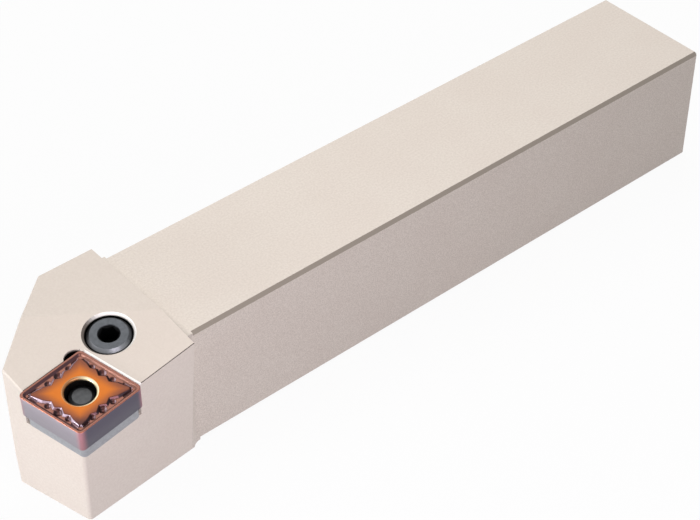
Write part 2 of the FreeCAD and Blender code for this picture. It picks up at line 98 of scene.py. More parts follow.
# %% [markdown]
# Shader maths as Python expressions
#
# A material is a graph of nodes. Written out node by node it is hard to read, so one small
# class wraps a number socket and adds the Math nodes itself: mask * 2 + 1 makes two of them,
# and 1 - mask works because the reflected operators are there too. A ramp is a smooth step
# between two values, which turns any measure into a mask.

# %% Sums on sockets
class Value:
    """A number socket that can be used in sums."""

    def __init__(self, graph, socket):
        self.graph = graph
        self.socket = socket

    def math(self, operation, *others):
        values = [self, *others]
        return self.graph.node("ShaderNodeMath", {"operation": operation}, dict(enumerate(values)))

    def __add__(self, other):
        return self.math("ADD", other)

    def __radd__(self, other):
        return self.math("ADD", other)

    def __sub__(self, other):
        return self.math("SUBTRACT", other)

    def __rsub__(self, other):
        return self.graph.node("ShaderNodeMath", {"operation": "SUBTRACT"}, {0: other, 1: self})

    def __mul__(self, other):
        return self.math("MULTIPLY", other)

    def __rmul__(self, other):
        return self.math("MULTIPLY", other)

    def absolute(self):
        return self.math("ABSOLUTE")

    def ramp(self, low, high):
        """0 below low, 1 above high, smooth between."""
        return self.graph.node(
            "ShaderNodeMapRange", {"interpolation_type": "SMOOTHSTEP"},
            {"Value": self, "From Min": low, "From Max": high}, "Result",
        )

    def widened(self):
        """Noise keeps close to its middle, so this spreads it over the whole of 0 to 1."""
        return self.ramp(0.3, 0.7)


print("sockets take + - *, absolute, ramp and widened")

# %% [markdown]
# One material's graph
#
# Any node comes from one method, Graph.node, which takes the node's type, its settings, and the
# values or links of its sockets. The short methods under it are the few nodes that these
# finishes need: noise for the grain, a blend of two colours, the place and direction of the
# surface, and the marks stored on the insert's skin. A group of nodes from a library would do
# the same, but then the script wouldn't stand alone.

# %% Graph of a material
class Graph:
    """One material's node tree."""

    def __init__(self, name):
        self.material = bpy.data.materials.new(name)
        self.material.use_nodes = True
        self.tree = self.material.node_tree
        self.shader = self.tree.nodes["Principled BSDF"]

    def connect(self, value, socket):
        if isinstance(value, Value):
            self.tree.links.new(value.socket, socket)
        elif isinstance(value, bpy.types.NodeSocket):
            self.tree.links.new(value, socket)
        else:
            socket.default_value = value

    def node(self, kind, settings, inputs, output=0):
        made = self.tree.nodes.new(kind)
        for name, setting in settings.items():
            setattr(made, name, setting)
        for name, value in inputs.items():
            self.connect(value, made.inputs[name])
        return Value(self, made.outputs[output])

    def place(self):
        return self.node("ShaderNodeTexCoord", {}, {}, "Object")

    def normal(self):
        """The surface's own direction, in the row frame."""
        return self.node("ShaderNodeNewGeometry", {}, {}, "True Normal")

    def noise(self, scale, detail=2.0, roughness=0.5):
        """Cloudy noise from 0 to 1. scale is in features per metre."""
        return self.node(
            "ShaderNodeTexNoise", {},
            {"Vector": self.place(), "Scale": scale, "Detail": detail, "Roughness": roughness},
        )

    def mix(self, factor, first, second):
        """Blend of two colours."""
        made = self.tree.nodes.new("ShaderNodeMix")
        made.data_type = "RGBA"
        self.connect(factor, made.inputs[0])
        for value, socket in ((first, made.inputs[6]), (second, made.inputs[7])):
            self.connect((*value, 1.0) if isinstance(value, tuple) else value, socket)
        return Value(self, made.outputs[2])

    def split(self, vector):
        """The three parts of a vector."""
        made = self.tree.nodes.new("ShaderNodeSeparateXYZ")
        self.connect(vector, made.inputs[0])
        return [Value(self, out) for out in made.outputs]

    def attribute(self, name):
        return self.node("ShaderNodeAttribute", {"attribute_name": name}, {}, "Fac")

    def bump(self, height, strength, distance):
        return self.node(
            "ShaderNodeBump", {},
            {"Height": height, "Strength": strength, "Distance": distance}, "Normal",
        )

    def finish(self, **inputs):
        for name, value in inputs.items():
            if isinstance(value, tuple):
                value = (*value, 1.0)
            self.connect(value, self.shader.inputs[name.replace("_", " ")])
        return self.material


print("a graph makes place, normal, noise, mix, split, attribute and bump nodes")

# %% [markdown]
# Colours and dressing
#
# A colour is easiest to judge on a screen, as three values of 0 to 255, but a shader works in
# linear light. The usual screen curve turns one into the other. Typing the linear values would
# save this helper, and then nobody could tell what shade they mean.

# %% Screen colours
def srgb(red, green, blue):
    """A colour given as screen values of 0 to 255, as the linear values that shaders use."""
    def linear(value):
        share = value / 255
        return share / 12.92 if share <= 0.04045 else ((share + 0.055) / 1.055) ** 2.4
    return tuple(linear(value) for value in (red, green, blue))


def dress(piece, material):
    """Put one material on a whole piece."""
    piece.data.materials.clear()
    piece.data.materials.append(material)
    print(piece.name, "wears", material.name, "with", len(material.node_tree.nodes), "nodes")


print("screen grey 128 is", round(srgb(128, 128, 128)[0], 3), "in linear light")

# %% [markdown]
# Where the insert sits
#
# The insert's own frame has its origin on the sharp cutting corner, x along the short diagonal
# into the pocket and z square to the top face. The same few angles that place it in the CAD
# model place it here: the seat falls by SEAT_TILT towards the corner, and the diagonal points
# 235 degrees round from the shank's direction. The insert could also be copied from the CAD
# piece, but its own frame lets its chip breaker be drawn flat.

# %% Insert frame
INSERT_CIRCLE = 12.7
THICKNESS = 4.76
HOLE_RADIUS = 2.58
HOLE_RIM = 0.45
NOSE_RADIUS = 0.8
HALF_CORNER = math.radians(50)
SEAT_TILT = math.radians(8.46)
SEAT_AZIMUTH = math.radians(235)
CUTTING_CORNER = Vector((89.5, 19.5, 25.0)) * MM

SIDE = INSERT_CIRCLE / math.sin(2 * HALF_CORNER)
CENTRE = SIDE * math.cos(HALF_CORNER)
HALF_WIDTH = SIDE * math.sin(HALF_CORNER)
seat_turn = Matrix.Rotation(SEAT_AZIMUTH, 3, "Z") @ Matrix.Rotation(-SEAT_TILT, 3, "Y")
seat = Matrix.Translation(CUTTING_CORNER) @ seat_turn.to_4x4() @ Matrix.Scale(MM, 4)
seat_up = seat_turn.col[2]
print("insert side", round(SIDE, 2), "mm, seat faces", [round(part, 3) for part in seat_up])

# %% [markdown]
# Two places on the holder
#
# The clearance hole at the insert's rear corner and the lever screw's bore are both square to
# the seat, so a finish finds them by the distance from an axis in the insert's own frame.
# Their places and radii are the ones of the CAD model, in millimetres along the insert's
# diagonal and across it. Picking their faces by number would break with the next CAD change.

# %% Places in the seat
RELIEF_AXIS = (15.009, 0.78)
RELIEF_RADIUS = 2.0
SCREW_AXIS = (19.802, -4.605)
BORE_RADIUS = 4.1
BORE_RIM_RADIUS = 4.56


def seat_place(graph):
    """Position in the insert's own frame, in metres: along its diagonal, across and up."""
    from_corner = graph.node(
        "ShaderNodeVectorMath", {"operation": "SUBTRACT"},
        {0: graph.place(), 1: tuple(CUTTING_CORNER)},
    )
    return [
        graph.node("ShaderNodeVectorMath", {"operation": "DOT_PRODUCT"},
                   {0: from_corner, 1: tuple(axis)}, "Value")
        for axis in seat_turn.transposed()
    ]


def distance_from(ahead, aside, axis):
    """Distance from an upright axis of the seat, in metres."""
    first = ahead - axis[0] * MM
    second = aside - axis[1] * MM
    return (first * first + second * second).math("SQRT")


def within(distance, radius, soft=0.05):
    """1 inside a radius given in millimetres, 0 outside, with a soft edge."""
    return 1 - distance.ramp((radius - soft) * MM, radius * MM)


def past(length, start, stop):
    """0 before start, 1 after stop, both in millimetres."""
    return length.ramp(start * MM, stop * MM)


print("clearance hole at", RELIEF_AXIS, "and screw at", SCREW_AXIS, "mm in the seat")

# %% [markdown]
# Painted shade in deep holes and a painted highlight on an edge
#
# Light hardly reaches into the two deep holes, so they are painted near black as shade from a
# little below the seat down. The edge along the pocket's wall is broken by a narrow chamfer, and
# a painted highlight, a bright line, is put there. It follows the insert's rear side and stops at
# the clearance hole. Both masks are sums on the place in the seat, with soft ends, and need no
# texture.

# %% Masks on the holder
HOLE_DARK_FROM = (-0.9, -0.35)
HIGHLIGHT_START = -0.05
HIGHLIGHT_WIDTH = 0.62
HIGHLIGHT_SOFT = 0.04
HIGHLIGHT_END = (-0.9, -0.5)
HIGHLIGHT_FOOT = (-0.7, -0.5)


def dark_holes(ahead, aside, height):
    """1 deep in the clearance hole and in the screw's bore."""
    in_relief = within(distance_from(ahead, aside, RELIEF_AXIS), RELIEF_RADIUS)
    in_bore = within(distance_from(ahead, aside, SCREW_AXIS), BORE_RADIUS)
    return in_relief.math("MAXIMUM", in_bore) * (1 - past(height, *HOLE_DARK_FROM))


def painted_wall_highlight(ahead, aside, height):
    """1 on the narrow chamfer along the pocket's wall, where a highlight is painted."""
    in_bore = within(distance_from(ahead, aside, SCREW_AXIS), BORE_RADIUS)
    from_centre = (ahead - CENTRE * MM) * math.sin(HALF_CORNER) - aside * math.cos(HALF_CORNER)
    from_wall = from_centre - INSERT_CIRCLE / 2 * MM
    band = past(from_wall, HIGHLIGHT_START, 0) * (
        1 - past(from_wall, HIGHLIGHT_WIDTH - HIGHLIGHT_SOFT, HIGHLIGHT_WIDTH)
    )
    return band * (1 - past(aside, *HIGHLIGHT_END)) * past(height, *HIGHLIGHT_FOOT) * (1 - in_bore)


# width of the painted highlight along the pocket's wall
print("broken edge", HIGHLIGHT_WIDTH, "mm wide")

# %% [markdown]
# Nickel-plated steel
#
# The holder is milled, blasted with fine beads and then plated, so it is pale and warm, with a
# grain a few tenths of a millimetre wide and almost no mirror in it. Its long chamfers are
# ground before plating and are smoother. They reflect one dark stretch of the room each, so
# they are picked out by the direction of the surface and get a painted dark reflection, as do
# the slanted edges of the head. The rim of the screw's bore gets a painted highlight where it
# leans to the front and painted shade where it leans away. The head is milled after the shank
# is ground, so its grain is finer. The top of the head is coloured a shade darker, most on the
# facet that follows the seat. All of that could also be made with one material per face, but
# the surface's direction and place say the same and need no faces picked by hand.

# %% Nickel finish
PLATED = srgb(231, 222, 213)
PLATED_CLOUD = srgb(229, 219, 210)
PLATED_GRAIN = srgb(212, 201, 191)
# tone of the pitting on the shank's sides, and the painted dark reflection on its long chamfers
PIT_TONE_AND_PAINTED_DARK_REFLECTION = srgb(157, 147, 136)
# painted dark reflection on the head's slanted edges
PAINTED_DARK_EDGE = srgb(76, 68, 62)
# painted highlight on the bore's rim and along the pocket's wall edge; the next colour is the
# painted shade on the rim
PAINTED_EDGE_HIGHLIGHT = srgb(255, 252, 248)
SHADED_EDGE = srgb(112, 103, 96)
# painted shade deep in the holes
DEEP_HOLE = srgb(3, 2, 2)
CHAMFER_STOP = 63
HEAD_START = 65.1
GRAINS_PER_METRE = 2600
PITS_PER_METRE = 4000
CLOUDS_PER_METRE = 90
HEAD_GRAIN = 0.35
SHANK_GRAIN = 0.5
SHANK_PITTING = 0.28
# how much darker the top of the head is coloured, and its facet
HEAD_TOP_DARKENING = 0.45
FACET_DARKENING = 0.63
PLATED_METAL = 0.27
PLATED_ROUGHNESS = 0.62
# ranges of the surface's direction in which a mask rises from 0 to 1
FLAT_FACE = (0.8, 0.95)
FACET_TILT = (0.03, 0.07)
CHAMFER_SLANT = (0.40, 0.47)
RIM_SLANT = (0.93, 0.96)
RIM_LIGHT = (-0.3, 0.3)


def before(length, stop, soft=0.1):
    """1 before a place given in millimetres, 0 after it, with a soft edge."""
    return 1 - past(length, stop - soft, stop + soft)


def nickel():
    graph = Graph("satin_nickel")
    grain = graph.noise(GRAINS_PER_METRE, 3.0, 0.6)
    pitting = graph.noise(PITS_PER_METRE, 2.0, 0.6)
    cloud = graph.noise(CLOUDS_PER_METRE, 2.0, 0.5)
    x, y, z = graph.split(graph.normal())
    along = graph.split(graph.place())[0]
    ahead, aside, height = seat_place(graph)
    from_screw = distance_from(ahead, aside, SCREW_AXIS)
    hollow = dark_holes(ahead, aside, height)
    on_rim = within(from_screw, BORE_RIM_RADIUS) * (1 - z.ramp(*RIM_SLANT))
    chamfered = before(along, CHAMFER_STOP)
    unmilled = before(along, HEAD_START)
    beside = y.absolute().ramp(*FLAT_FACE) * unmilled
    # top faces of the head, coloured a shade darker, most on the facet
    darker_head_top = z.ramp(*FLAT_FACE) * (1 - unmilled)
    facet = x.ramp(*FACET_TILT)
    slant = (y.absolute() * z.absolute()).ramp(*CHAMFER_SLANT)
    chamfer = slant * chamfered
    head_edge_painted_dark = slant * (1 - chamfered) * (1 - within(from_screw, BORE_RIM_RADIUS + 0.3))
    grain_share = HEAD_GRAIN + unmilled * (SHANK_GRAIN - HEAD_GRAIN)
    top_darkening = HEAD_TOP_DARKENING + facet * (FACET_DARKENING - HEAD_TOP_DARKENING)
    colour = graph.mix(cloud.widened(), PLATED, PLATED_CLOUD)
    colour = graph.mix(grain.widened() * grain_share, colour, PLATED_GRAIN)
    colour = graph.mix(beside * pitting.ramp(0.38, 0.62) * SHANK_PITTING, colour, PIT_TONE_AND_PAINTED_DARK_REFLECTION)
    colour = graph.mix(darker_head_top * top_darkening, colour, PLATED_GRAIN)
    # painted dark reflection on the long chamfers
    colour = graph.mix(chamfer, colour, PIT_TONE_AND_PAINTED_DARK_REFLECTION)
    # painted dark reflection on the head's slanted edges
    colour = graph.mix(head_edge_painted_dark, colour, PAINTED_DARK_EDGE)
    # painted highlight on the bore's rim where it leans to the front, painted shade where it leans
    # away
    colour = graph.mix(on_rim, colour, graph.mix(x.ramp(*RIM_LIGHT), SHADED_EDGE, PAINTED_EDGE_HIGHLIGHT))
    # painted highlight along the edge of the pocket's wall
    colour = graph.mix(painted_wall_highlight(ahead, aside, height), colour, PAINTED_EDGE_HIGHLIGHT)
    # painted shade deep in the holes
    colour = graph.mix(hollow, colour, DEEP_HOLE)
    return graph.finish(
        Base_Color=colour,
        Metallic=PLATED_METAL + hollow * 0.7,
        Roughness=PLATED_ROUGHNESS + (grain - 0.5) * 0.16 - chamfer * 0.2 + hollow * 0.2,
        Normal=graph.bump(grain * 0.5 + pitting * unmilled * 0.4, 0.8, 0.04 * MM),
    )


dress(frame["nodes"]["holder"], nickel())

# %% [markdown]
# Black oxide on the lever screw
#
# The screw is blackened and slightly glossy. Its hexagon socket is deep and is painted near
# black as shade, and the bevel round its head gets a painted highlight on the side of the
# cutting corner. An image could carry both, but two rings about the screw's axis do it at any
# size.

# %% Lever screw
OXIDE = srgb(66, 68, 72)
OXIDE_GRAIN = srgb(54, 56, 59)
# painted highlight on the screw's bevel
PAINTED_BEVEL_HIGHLIGHT = srgb(132, 134, 138)
# painted shade in the deep socket
PAINTED_SOCKET_SHADE = srgb(8, 8, 9)
SOCKET_RADIUS = 2.0
SOCKET_TOP = (-0.55, -0.38)
BEVEL_START = 2.6
BEVEL_SLANT = (0.86, 0.93)
BEVEL_LIGHT = (0.2, 0.75)
BEVEL_SHARE = 0.8


def black_screw():
    graph = Graph("black_oxide")
    grain = graph.noise(1800, 2.0)
    ahead, aside, height = seat_place(graph)
    from_axis = distance_from(ahead, aside, SCREW_AXIS)
    # painted shade in the deep socket
    socket = within(from_axis, SOCKET_RADIUS) * (1 - past(height, *SOCKET_TOP))
    x, y, z = graph.split(graph.normal())
    slanted = (1 - z.ramp(*BEVEL_SLANT)) * (1 - within(from_axis, BEVEL_START))
    # painted highlight on the bevel, on the side of the cutting corner
    bevel = BEVEL_SHARE * slanted * (x + y).ramp(*BEVEL_LIGHT)
    shade = graph.mix(grain.widened() * 0.5, OXIDE, OXIDE_GRAIN)
    shade = graph.mix(bevel, shade, PAINTED_BEVEL_HIGHLIGHT)
    return graph.finish(
        Base_Color=graph.mix(socket, shade, PAINTED_SOCKET_SHADE),
        Metallic=0.9,
        Roughness=0.34 + (grain - 0.5) * 0.14 + socket * 0.3,
        Normal=graph.bump(grain, 0.15, 0.01 * MM),
    )


dress(frame["nodes"]["lever_screw"], black_screw())

# %% [markdown]
# Plain pieces under the insert
#
# The lever is hardened to a grey black, the sleeve is plain spring steel, and the shim is
# ground carbide. They are nearly hidden, so they share one simple finish: a tone, a darker
# tone in the grain, and a slight unevenness that breaks up the reflections.

# %% Lever, sleeve and shim
GRAIN_DARKENS = 0.72


def turned_steel(name, colour, roughness, metallic, grain_scale):
    graph = Graph(name)
    grain = graph.noise(grain_scale, 2.0)
    darker = tuple(value * GRAIN_DARKENS for value in colour)
    return graph.finish(
        Base_Color=graph.mix(grain.widened() * 0.5, colour, darker),
        Metallic=metallic,
        Roughness=roughness + (grain - 0.5) * 0.14,
        Normal=graph.bump(grain, 0.15, 0.01 * MM),
    )


dress(frame["nodes"]["lever"], turned_steel("hardened_steel", srgb(66, 67, 69), 0.45, 0.9, 1500))
dress(frame["nodes"]["shim_pin"], turned_steel("spring_steel", srgb(150, 150, 152), 0.4, 0.9, 1500))
dress(frame["nodes"]["shim"], turned_steel("ground_carbide", srgb(168, 170, 175), 0.5, 0.5, 2200))

# %% [markdown]
# The insert's outline
#
# The plate is a rhombus with rounded corners. All its sides touch one circle, so a copy of the
# outline that is scaled about the centre runs parallel to it, at a distance that grows with the
# scale. That gives rings along which the chip breaker can be shaped. A bevel on a plain rhombus
# would round the corners too, but it wouldn't put the points of all rings in line.

# %% Outline of the plate
SIDE_STEPS = 72
CORNER_STEPS = 8


def outline():
    """Points of the rounded rhombus about its centre, anticlockwise, in millimetres."""
    corners = [
        Vector((-CENTRE, 0)), Vector((0, -HALF_WIDTH)),
        Vector((CENTRE, 0)), Vector((0, HALF_WIDTH)),
    ]
    points = []
    for index, corner in enumerate(corners):
        following = corners[(index + 1) % 4]
        back = (corners[index - 1] - corner).normalized()
        onward = (following - corner).normalized()
        half = back.angle(onward) / 2
        middle = corner + (back + onward).normalized() * NOSE_RADIUS / math.sin(half)
        start = corner + back * NOSE_RADIUS / math.tan(half) - middle
        sweep = math.pi - 2 * half
        for step in range(CORNER_STEPS + 1):
            points.append(middle + Matrix.Rotation(sweep * step / CORNER_STEPS, 2) @ start)
        end = points[-1]
        stop = following - onward * NOSE_RADIUS / math.tan(math.pi / 2 - half)
        for step in range(1, SIDE_STEPS):
            points.append(end.lerp(stop, step / SIDE_STEPS))
    return points


rim_points = outline()
print("outline points", len(rim_points))

# %% [markdown]
# Lines of the chip breaker
#
# Every point of the top face is told by two measures: the distance in from the nearest side,
# and the place along that side, from its middle towards the sharp 80 degree corner. The four
# sides are alike, so the face is folded onto one of them. Near a corner of the plate the groove
# turns in a round bend, and the distance is measured from that bend. The raised middle is a
# star with long points to the corners, given as a line over one side.

# %% Places on the plate
GROOVE_CORNER = 1.05
STAR = [
    (-5.6, 2.4), (-5.15, 1.35), (-3.8, 1.6), (-2.8, 2.0), (-1.85, 1.65), (-0.75, 2.4),
    (0.25, 1.75), (1.3, 2.35), (2.55, 1.72), (3.9, 1.5), (4.75, 1.3), (5.15, 2.4),
]
SIDE_NORMAL = Vector((math.sin(HALF_CORNER), math.cos(HALF_CORNER)))
SIDE_ALONG = Vector((-math.cos(HALF_CORNER), math.sin(HALF_CORNER)))
SIDE_MIDDLE = Vector((CENTRE / 2, HALF_WIDTH / 2))


def side_place(point):
    """Distance in from the nearest side, and place along it towards the 80 degree corner."""
    folded = Vector((abs(point.x), abs(point.y)))
    return INSERT_CIRCLE / 2 - folded.dot(SIDE_NORMAL), (folded - SIDE_MIDDLE).dot(SIDE_ALONG)


def round_inward(point):
    """Distance in from the side, measured from a round bend near the plate's corners."""
    folded = Vector((abs(point.x), abs(point.y)))
    blunt = folded - Vector((CENTRE - GROOVE_CORNER / math.sin(HALF_CORNER), 0))
    sharp = folded - Vector((0, HALF_WIDTH - GROOVE_CORNER / math.cos(HALF_CORNER)))
    if blunt.dot(SIDE_ALONG) < 0:
        return max(0.0, GROOVE_CORNER - blunt.length)
    if sharp.dot(SIDE_ALONG) > 0:
        return max(0.0, GROOVE_CORNER - sharp.length)
    return side_place(point)[0]


def star_line(place):
    """Distance from the side at which the raised middle begins."""
    for (low, first), (high, second) in zip(STAR, STAR[1:]):
        if place <= high:
            return first + (second - first) * (max(place, low) - low) / (high - low)
    return STAR[-1][1]


print("star starts", round(star_line(0), 2), "mm in from the middle of a side")

# %% [markdown]
# Height of the chip breaker
#
# A moulded chip breaker is a height over the top face. A narrow land follows the edge, a slope
# falls from it to a groove, and a wall climbs from the groove to the raised middle. Three round
# pits scallop the wall on each side of the plate, and a long pit lies beside each corner. It
# could be carved with booleans, but a height has no seams, and its walls can be as soft as a
# pressed powder part's.

# %% Height of the chip breaker
LAND = 0.30
GROOVE_AT = 0.80
GROOVE_DEPTH = 0.38
WALL_WIDTH = 0.55
# place along the side, distance in, radius, depth
PITS = [(-2.85, 1.35, 0.52, 0.26), (-0.75, 1.38, 0.72, 0.34), (1.4, 1.4, 0.54, 0.26)]
# start and end along the side, distance in, radius, depth
LONG_PITS = [(3.4, 4.8, 1.0, 0.26, 0.16), (-4.9, -4.0, 1.04, 0.26, 0.14)]
DEEPEST_PIT = max(pit[3] for pit in PITS)
RAISED_FILLS_PITS = 0.6


def smooth(low, high, value):
    share = min(max((value - low) / (high - low), 0.0), 1.0)
    return share * share * (3 - 2 * share)


def pitted(point):
    """Depth of the pits, 0 to 1 of the deepest."""
    inward, place = side_place(point)
    depth = 0.0
    for centre, reach, radius, deepest in PITS:
        gap = math.hypot(place - centre, inward - reach) / radius
        depth += deepest * max(0.0, 1 - gap * gap)
    for start, end, reach, radius, deepest in LONG_PITS:
        aside = place - min(max(place, start), end)
        gap = math.hypot(aside, inward - reach) / radius
        depth += deepest * max(0.0, 1 - gap * gap)
    return depth / DEEPEST_PIT


def breaker(point):
    """Height of the top face and how far up the raised middle the point is, 0 to 1."""
    inward, place = side_place(point)
    line = star_line(place)
    raised = smooth(line - WALL_WIDTH, line, inward)
    height = -GROOVE_DEPTH * smooth(LAND, GROOVE_AT, round_inward(point)) * (1 - raised)
    height -= DEEPEST_PIT * pitted(point) * (1 - RAISED_FILLS_PITS * raised)
    return height, raised


print("deepest pit", DEEPEST_PIT, "mm, groove", GROOVE_DEPTH, "mm")

# %% [markdown]
# Rings of the insert
#
# The skin is a row of rings, each with a height and a mark. The first one is the cutting edge,
# a touch below the face because the edge is honed. The next ones run parallel to it over the
# chip breaker, then draw in to the hole's rim, turn round it and go down the hole. The lower
# face has its own chip breaker, so its rings are the same ones in reverse, mirrored.

# %% Rings of the insert
RINGS = 64
FLAT_RINGS = 3
RIM_RINGS = 4
BREAKER_REACH = 3.1
HONE = 0.05
ON_RIM = 2.0
IN_HOLE = 3.0


def inset_ring(inward):
    """The outline drawn in by a distance from its sides."""
    share = inward / (INSERT_CIRCLE / 2)
    return [point * (1 - share) for point in rim_points]


def round_ring(radius):
    """The outline drawn in to a circle round the hole."""
    return [point.normalized() * radius for point in rim_points]


def sections():
    """Rings of the closed skin: a list of (points, heights, marks)."""
    count = len(rim_points)
    found = [(rim_points, [-HONE] * count, [0.0] * count)]
    for step in range(1, RINGS + 1):
        points = inset_ring(BREAKER_REACH * step / RINGS)
        heights, marks = zip(*(breaker(point) for point in points))
        found.append((points, heights, marks))
    circle = round_ring(HOLE_RADIUS + HOLE_RIM)
    for step in range(1, FLAT_RINGS + 1):
        between = [a.lerp(b, step / FLAT_RINGS) for a, b in zip(points, circle)]
        found.append((between, [0.0] * count, [1.0] * count))
    for step in range(1, RIM_RINGS + 1):
        turn = math.radians(90 * step / RIM_RINGS)
        rim = round_ring(HOLE_RADIUS + HOLE_RIM * (1 - math.sin(turn)))
        found.append((rim, [-HOLE_RIM * (1 - math.cos(turn))] * count, [ON_RIM] * count))
    found.append((round_ring(HOLE_RADIUS), [-HOLE_RIM - HONE] * count, [IN_HOLE] * count))
    for points, heights, marks in found[::-1]:
        found.append((points, [-THICKNESS - height for height in heights], marks))
    return found


rings = sections()
print("rings", len(rings), "of", len(rim_points), "points")

# %% [markdown]
# Building the insert
#
# The first ring starts as a circle. Each further ring is an extrusion of the one before, moved
# into place, and the last is bridged to the first, so the whole insert is one closed skin.
# Marks are stored on its vertices, where the material reads them: how far up the star, how near
# a corner, how far in, whether on the edge, and how deep in a pit. Modifiers couldn't follow
# this shape, and a list of faces written by hand would be harder to read.

# %% Insert mesh
CORNER_FADE = (1.4, 0.1)


def loop_edges(mesh, loop):
    """The edges that join a closed loop of vertices."""
    return [mesh.edges.get((first, second)) for first, second in zip(loop, loop[1:] + loop[:1])]


def grow(mesh, loop):
    """Extrude a closed loop and return the new one, in the same order."""
    made = bmesh.ops.extrude_edge_only(mesh, edges=loop_edges(mesh, loop))["geom"]
    fresh = {item for item in made if isinstance(item, bmesh.types.BMVert)}
    grown = []
    for vertex in loop:
        ends = [edge.other_vert(vertex) for edge in vertex.link_edges]
        grown.append(next(end for end in ends if end in fresh))
    return grown


def shape_ring(layers, loop, section):
    """Move a loop onto its section and mark its vertices."""
    points, heights, marks = section
    for vertex, point, height, mark in zip(loop, points, heights, marks):
        inward, place = side_place(point)
        vertex.co = (point.x + CENTRE, point.y, height)
        vertex[layers["raised"]] = mark
        vertex[layers["corner"]] = smooth(*CORNER_FADE, SIDE / 2 - abs(place))
        vertex[layers["inward"]] = inward
        vertex[layers["outer"]] = 1.0 if points is rim_points else 0.0
        vertex[layers["pit"]] = pitted(point)


def build_insert():
    mesh = bmesh.new()
    names = ("raised", "corner", "inward", "outer", "pit")
    layers = {name: mesh.verts.layers.float.new(name) for name in names}
    first = list(bmesh.ops.create_circle(mesh, segments=len(rim_points), radius=1)["verts"])
    shape_ring(layers, first, rings[0])
    loop = first
    for section in rings[1:]:
        loop = grow(mesh, loop)
        shape_ring(layers, loop, section)
    bmesh.ops.bridge_loops(mesh, edges=loop_edges(mesh, loop) + loop_edges(mesh, first))
    bmesh.ops.recalc_face_normals(mesh, faces=mesh.faces)
    mesh.transform(seat)
    data = bpy.data.meshes.new("insert_breaker")
    mesh.to_mesh(data)
    mesh.free()
    for polygon in data.polygons:
        polygon.use_smooth = True
    return link("insert_breaker", data)


insert = build_insert()
print("insert faces", len(insert.data.polygons))
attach(insert, "holder")
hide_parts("insert")

# %% [markdown]
# Coated carbide
#
# The coating is a film thinner than a hair, and its colour changes with its thickness and with
# the angle of view: copper on the raised middle, brown towards the points of the star and plum
# in the groove. A thin film shader would need the real thickness everywhere, so the colour
# follows the slope of the surface instead, and the slope carries painted light as well: painted
# highlights make the walls and pits that face the light nearly white, and painted shade darkens
# those that face away. The flanks are ground grey before coating and turn pink at the corners,
# and they are painted lighter or darker by the way they face.

# %% Carbide colours
COPPER = srgb(156, 82, 8)
COPPER_RING = srgb(94, 48, 30)
COPPER_TIP = srgb(56, 28, 26)
# painted shade inside the hole
PAINTED_BORE_SHADE = srgb(30, 26, 24)
# painted shade and painted highlight on the hole's rim
RIM_PAINTED_SHADE_AND_HIGHLIGHT = (srgb(154, 108, 68), srgb(255, 244, 204))
# cutting edge: copper line with painted shade and painted highlight
EDGE_COPPER_AND_PAINTED_LIGHT = (srgb(80, 50, 50), srgb(214, 124, 84))
# flanks: one ground grey, painted lighter or darker by the way they face
FLANK_GREY_AND_PAINTED_SHADE = (srgb(154, 148, 156), srgb(88, 84, 97))
FLANK_CORNER = srgb(192, 132, 140)
# painted shade, middle and painted highlight tone, and the two ranges of the painted light in which
# they change
GROOVE_COLOUR_AND_PAINTED_LIGHT = (
    srgb(66, 42, 46), srgb(116, 74, 62), srgb(158, 112, 98), (0.02, 0.42), (0.45, 0.70),
)
WALL_COLOUR_AND_PAINTED_LIGHT = (
    srgb(36, 22, 30), srgb(122, 80, 84), srgb(226, 204, 222), (0.10, 0.40), (0.40, 0.60),
)
# the pits are painted darker than the groove as shade, with painted highlights where they face the
# light
PIT_COLOUR_AND_PAINTED_SHADE = (
    srgb(44, 24, 26), srgb(92, 54, 50), srgb(216, 186, 196), (0.10, 0.50), (0.55, 0.75),
)


def toned(graph, painted_light, tones):
    """Painted shade, middle and painted highlight tones over the slope."""
    dark, middle, lit, rise, shine = tones
    return graph.mix(painted_light.ramp(*shine), graph.mix(painted_light.ramp(*rise), dark, middle), lit)


def breaker_colour(graph, painted_light):
    """Colour of the groove with its walls and pits, with light and shade painted by the slope."""
    groove = toned(graph, painted_light, GROOVE_COLOUR_AND_PAINTED_LIGHT)
    on_wall = graph.attribute("raised").ramp(0.02, 0.15)
    in_pit = graph.attribute("pit").ramp(0.05, 0.3)
    colour = graph.mix(on_wall, groove, toned(graph, painted_light, WALL_COLOUR_AND_PAINTED_LIGHT))
    # painted shade in the pits, with painted highlights where they face the light
    return graph.mix(in_pit, colour, toned(graph, painted_light, PIT_COLOUR_AND_PAINTED_SHADE))


print("tint runs from", GROOVE_COLOUR_AND_PAINTED_LIGHT[3][0], "in the groove to", PIT_COLOUR_AND_PAINTED_SHADE[4][1], "in the pits")

# %% [markdown]
# The finish of the insert
#
# The parts of the insert are told apart by the marks on its skin: below 1 is the breaker, 1 the
# raised middle, 2 the hole's rim and 3 the hole. The painted light is highest where the surface
# leans forward, away from the shank, and to the side opposite the insert's. Two materials, with
# faces picked for each, would be the usual way, but one keeps the borders between the colours
# soft.

# %% Carbide finish
# how the painted light follows the lean of the surface
PAINTED_LIGHT_LEVEL = 0.38
PAINTED_LIGHT_ALONG = 0.6
PAINTED_LIGHT_ACROSS = 0.4
COATED_METAL = 0.7
FLANK_METAL = 0.3
COATED_ROUGHNESS = 0.36


